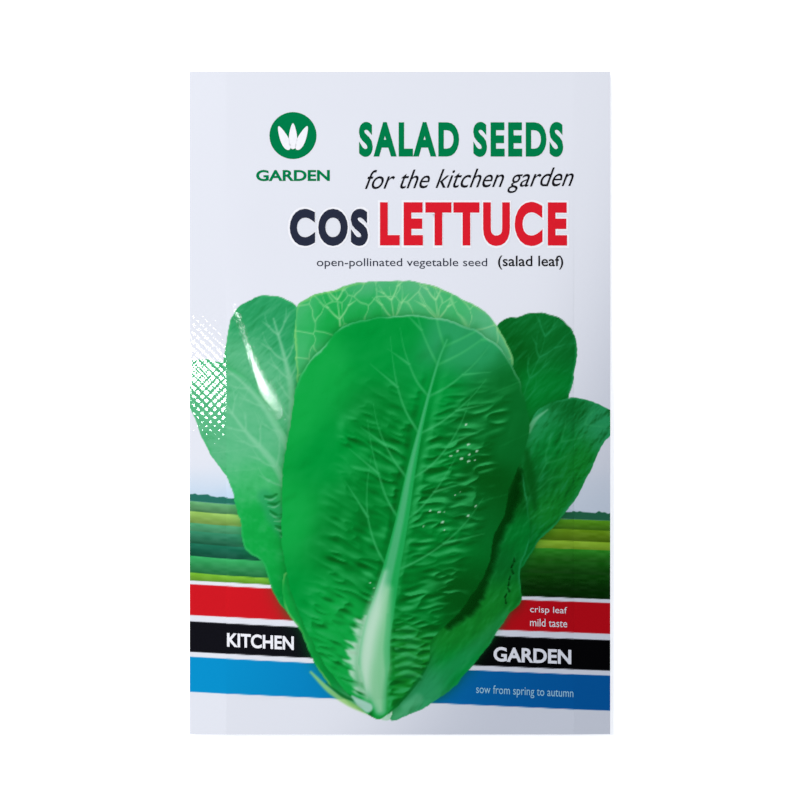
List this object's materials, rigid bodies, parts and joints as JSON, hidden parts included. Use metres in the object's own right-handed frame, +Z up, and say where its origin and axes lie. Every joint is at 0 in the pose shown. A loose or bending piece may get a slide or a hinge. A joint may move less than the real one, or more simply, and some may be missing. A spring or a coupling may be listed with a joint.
{
  "type": "seed packet",
  "caption": "Flat heat-sealed film packet holding loose lettuce seed, printed on both sides, lying on its back with a shallow bulge low down.",
  "frame": {"origin": "under the middle of the packet, on the surface that it lies on", "axes": "+Y along the packet towards its top edge, +X across it to the right as its front is read, +Z up, out of the printed front"},
  "size_m": [0.12, 0.189, 0.0057],
  "materials": {
    "printed_film": "glossy clear film over a printed white laminate",
    "back_film": "glossy clear film over a printed white laminate",
    "seed": "dry ribbed seed coat, matt, dark brown"
  },
  "bodies": {
    "root": {"front_film": "printed_film", "back_film": "back_film", "seed_fill": "seed"}
  },
  "joints": []
}
